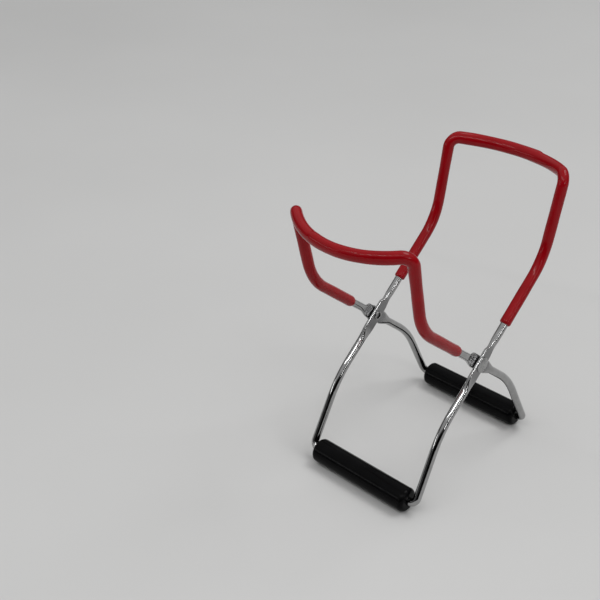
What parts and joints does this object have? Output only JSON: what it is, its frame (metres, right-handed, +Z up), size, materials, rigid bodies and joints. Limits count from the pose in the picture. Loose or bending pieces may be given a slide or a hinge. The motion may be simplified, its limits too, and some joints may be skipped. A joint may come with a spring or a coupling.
{
  "type": "jar lifter",
  "caption": "Scissor jar lifter: crossed chromed wire frames on riveted pivots, bowed red vinyl-coated jaws for a hot canning jar, and black cylindrical grips.",
  "frame": {"origin": "on the floor, midway between the two grips, below the middle of the pivot axis", "axes": "+X along the pivot axis to the right, +Y towards the jaw whose frame has its grip at the front, +Z up through the jaws"},
  "size_m": [0.0916, 0.176, 0.1796],
  "materials": {
    "chromed_wire": "bright chrome, satin where it is pressed flat",
    "red_vinyl": "glossy dipped vinyl",
    "black_plastic": "semi-gloss",
    "rivet_steel": "nickel-plated, satin"
  },
  "bodies": {
    "rear_jaw_half": {"wire_frame_rear_jaw": "chromed_wire", "vinyl_coat_rear_jaw": "red_vinyl", "rivet_right": "rivet_steel", "rivet_left": "rivet_steel"},
    "front_jaw_half": {"wire_frame_front_jaw": "chromed_wire", "vinyl_coat_front_jaw": "red_vinyl"},
    "front_grip": {"grip_front": "black_plastic"},
    "rear_grip": {"grip_rear": "black_plastic"}
  },
  "joints": [
    {"name": "scissor_pivot", "type": "hinge", "parent": "rear_jaw_half", "child": "front_jaw_half", "pos_m": [0, 0, 0.0787], "axis": [1, 0, 0], "range_deg": [-66, 42]},
    {"name": "front_grip_spin", "type": "hinge", "parent": "rear_jaw_half", "child": "front_grip", "pos_m": [0, -0.0566, 0.0076], "axis": [1, 0, 0], "continuous": true},
    {"name": "rear_grip_spin", "type": "hinge", "parent": "front_jaw_half", "child": "rear_grip", "pos_m": [0, 0.0566, 0.0076], "axis": [1, 0, 0], "continuous": true}
  ]
}
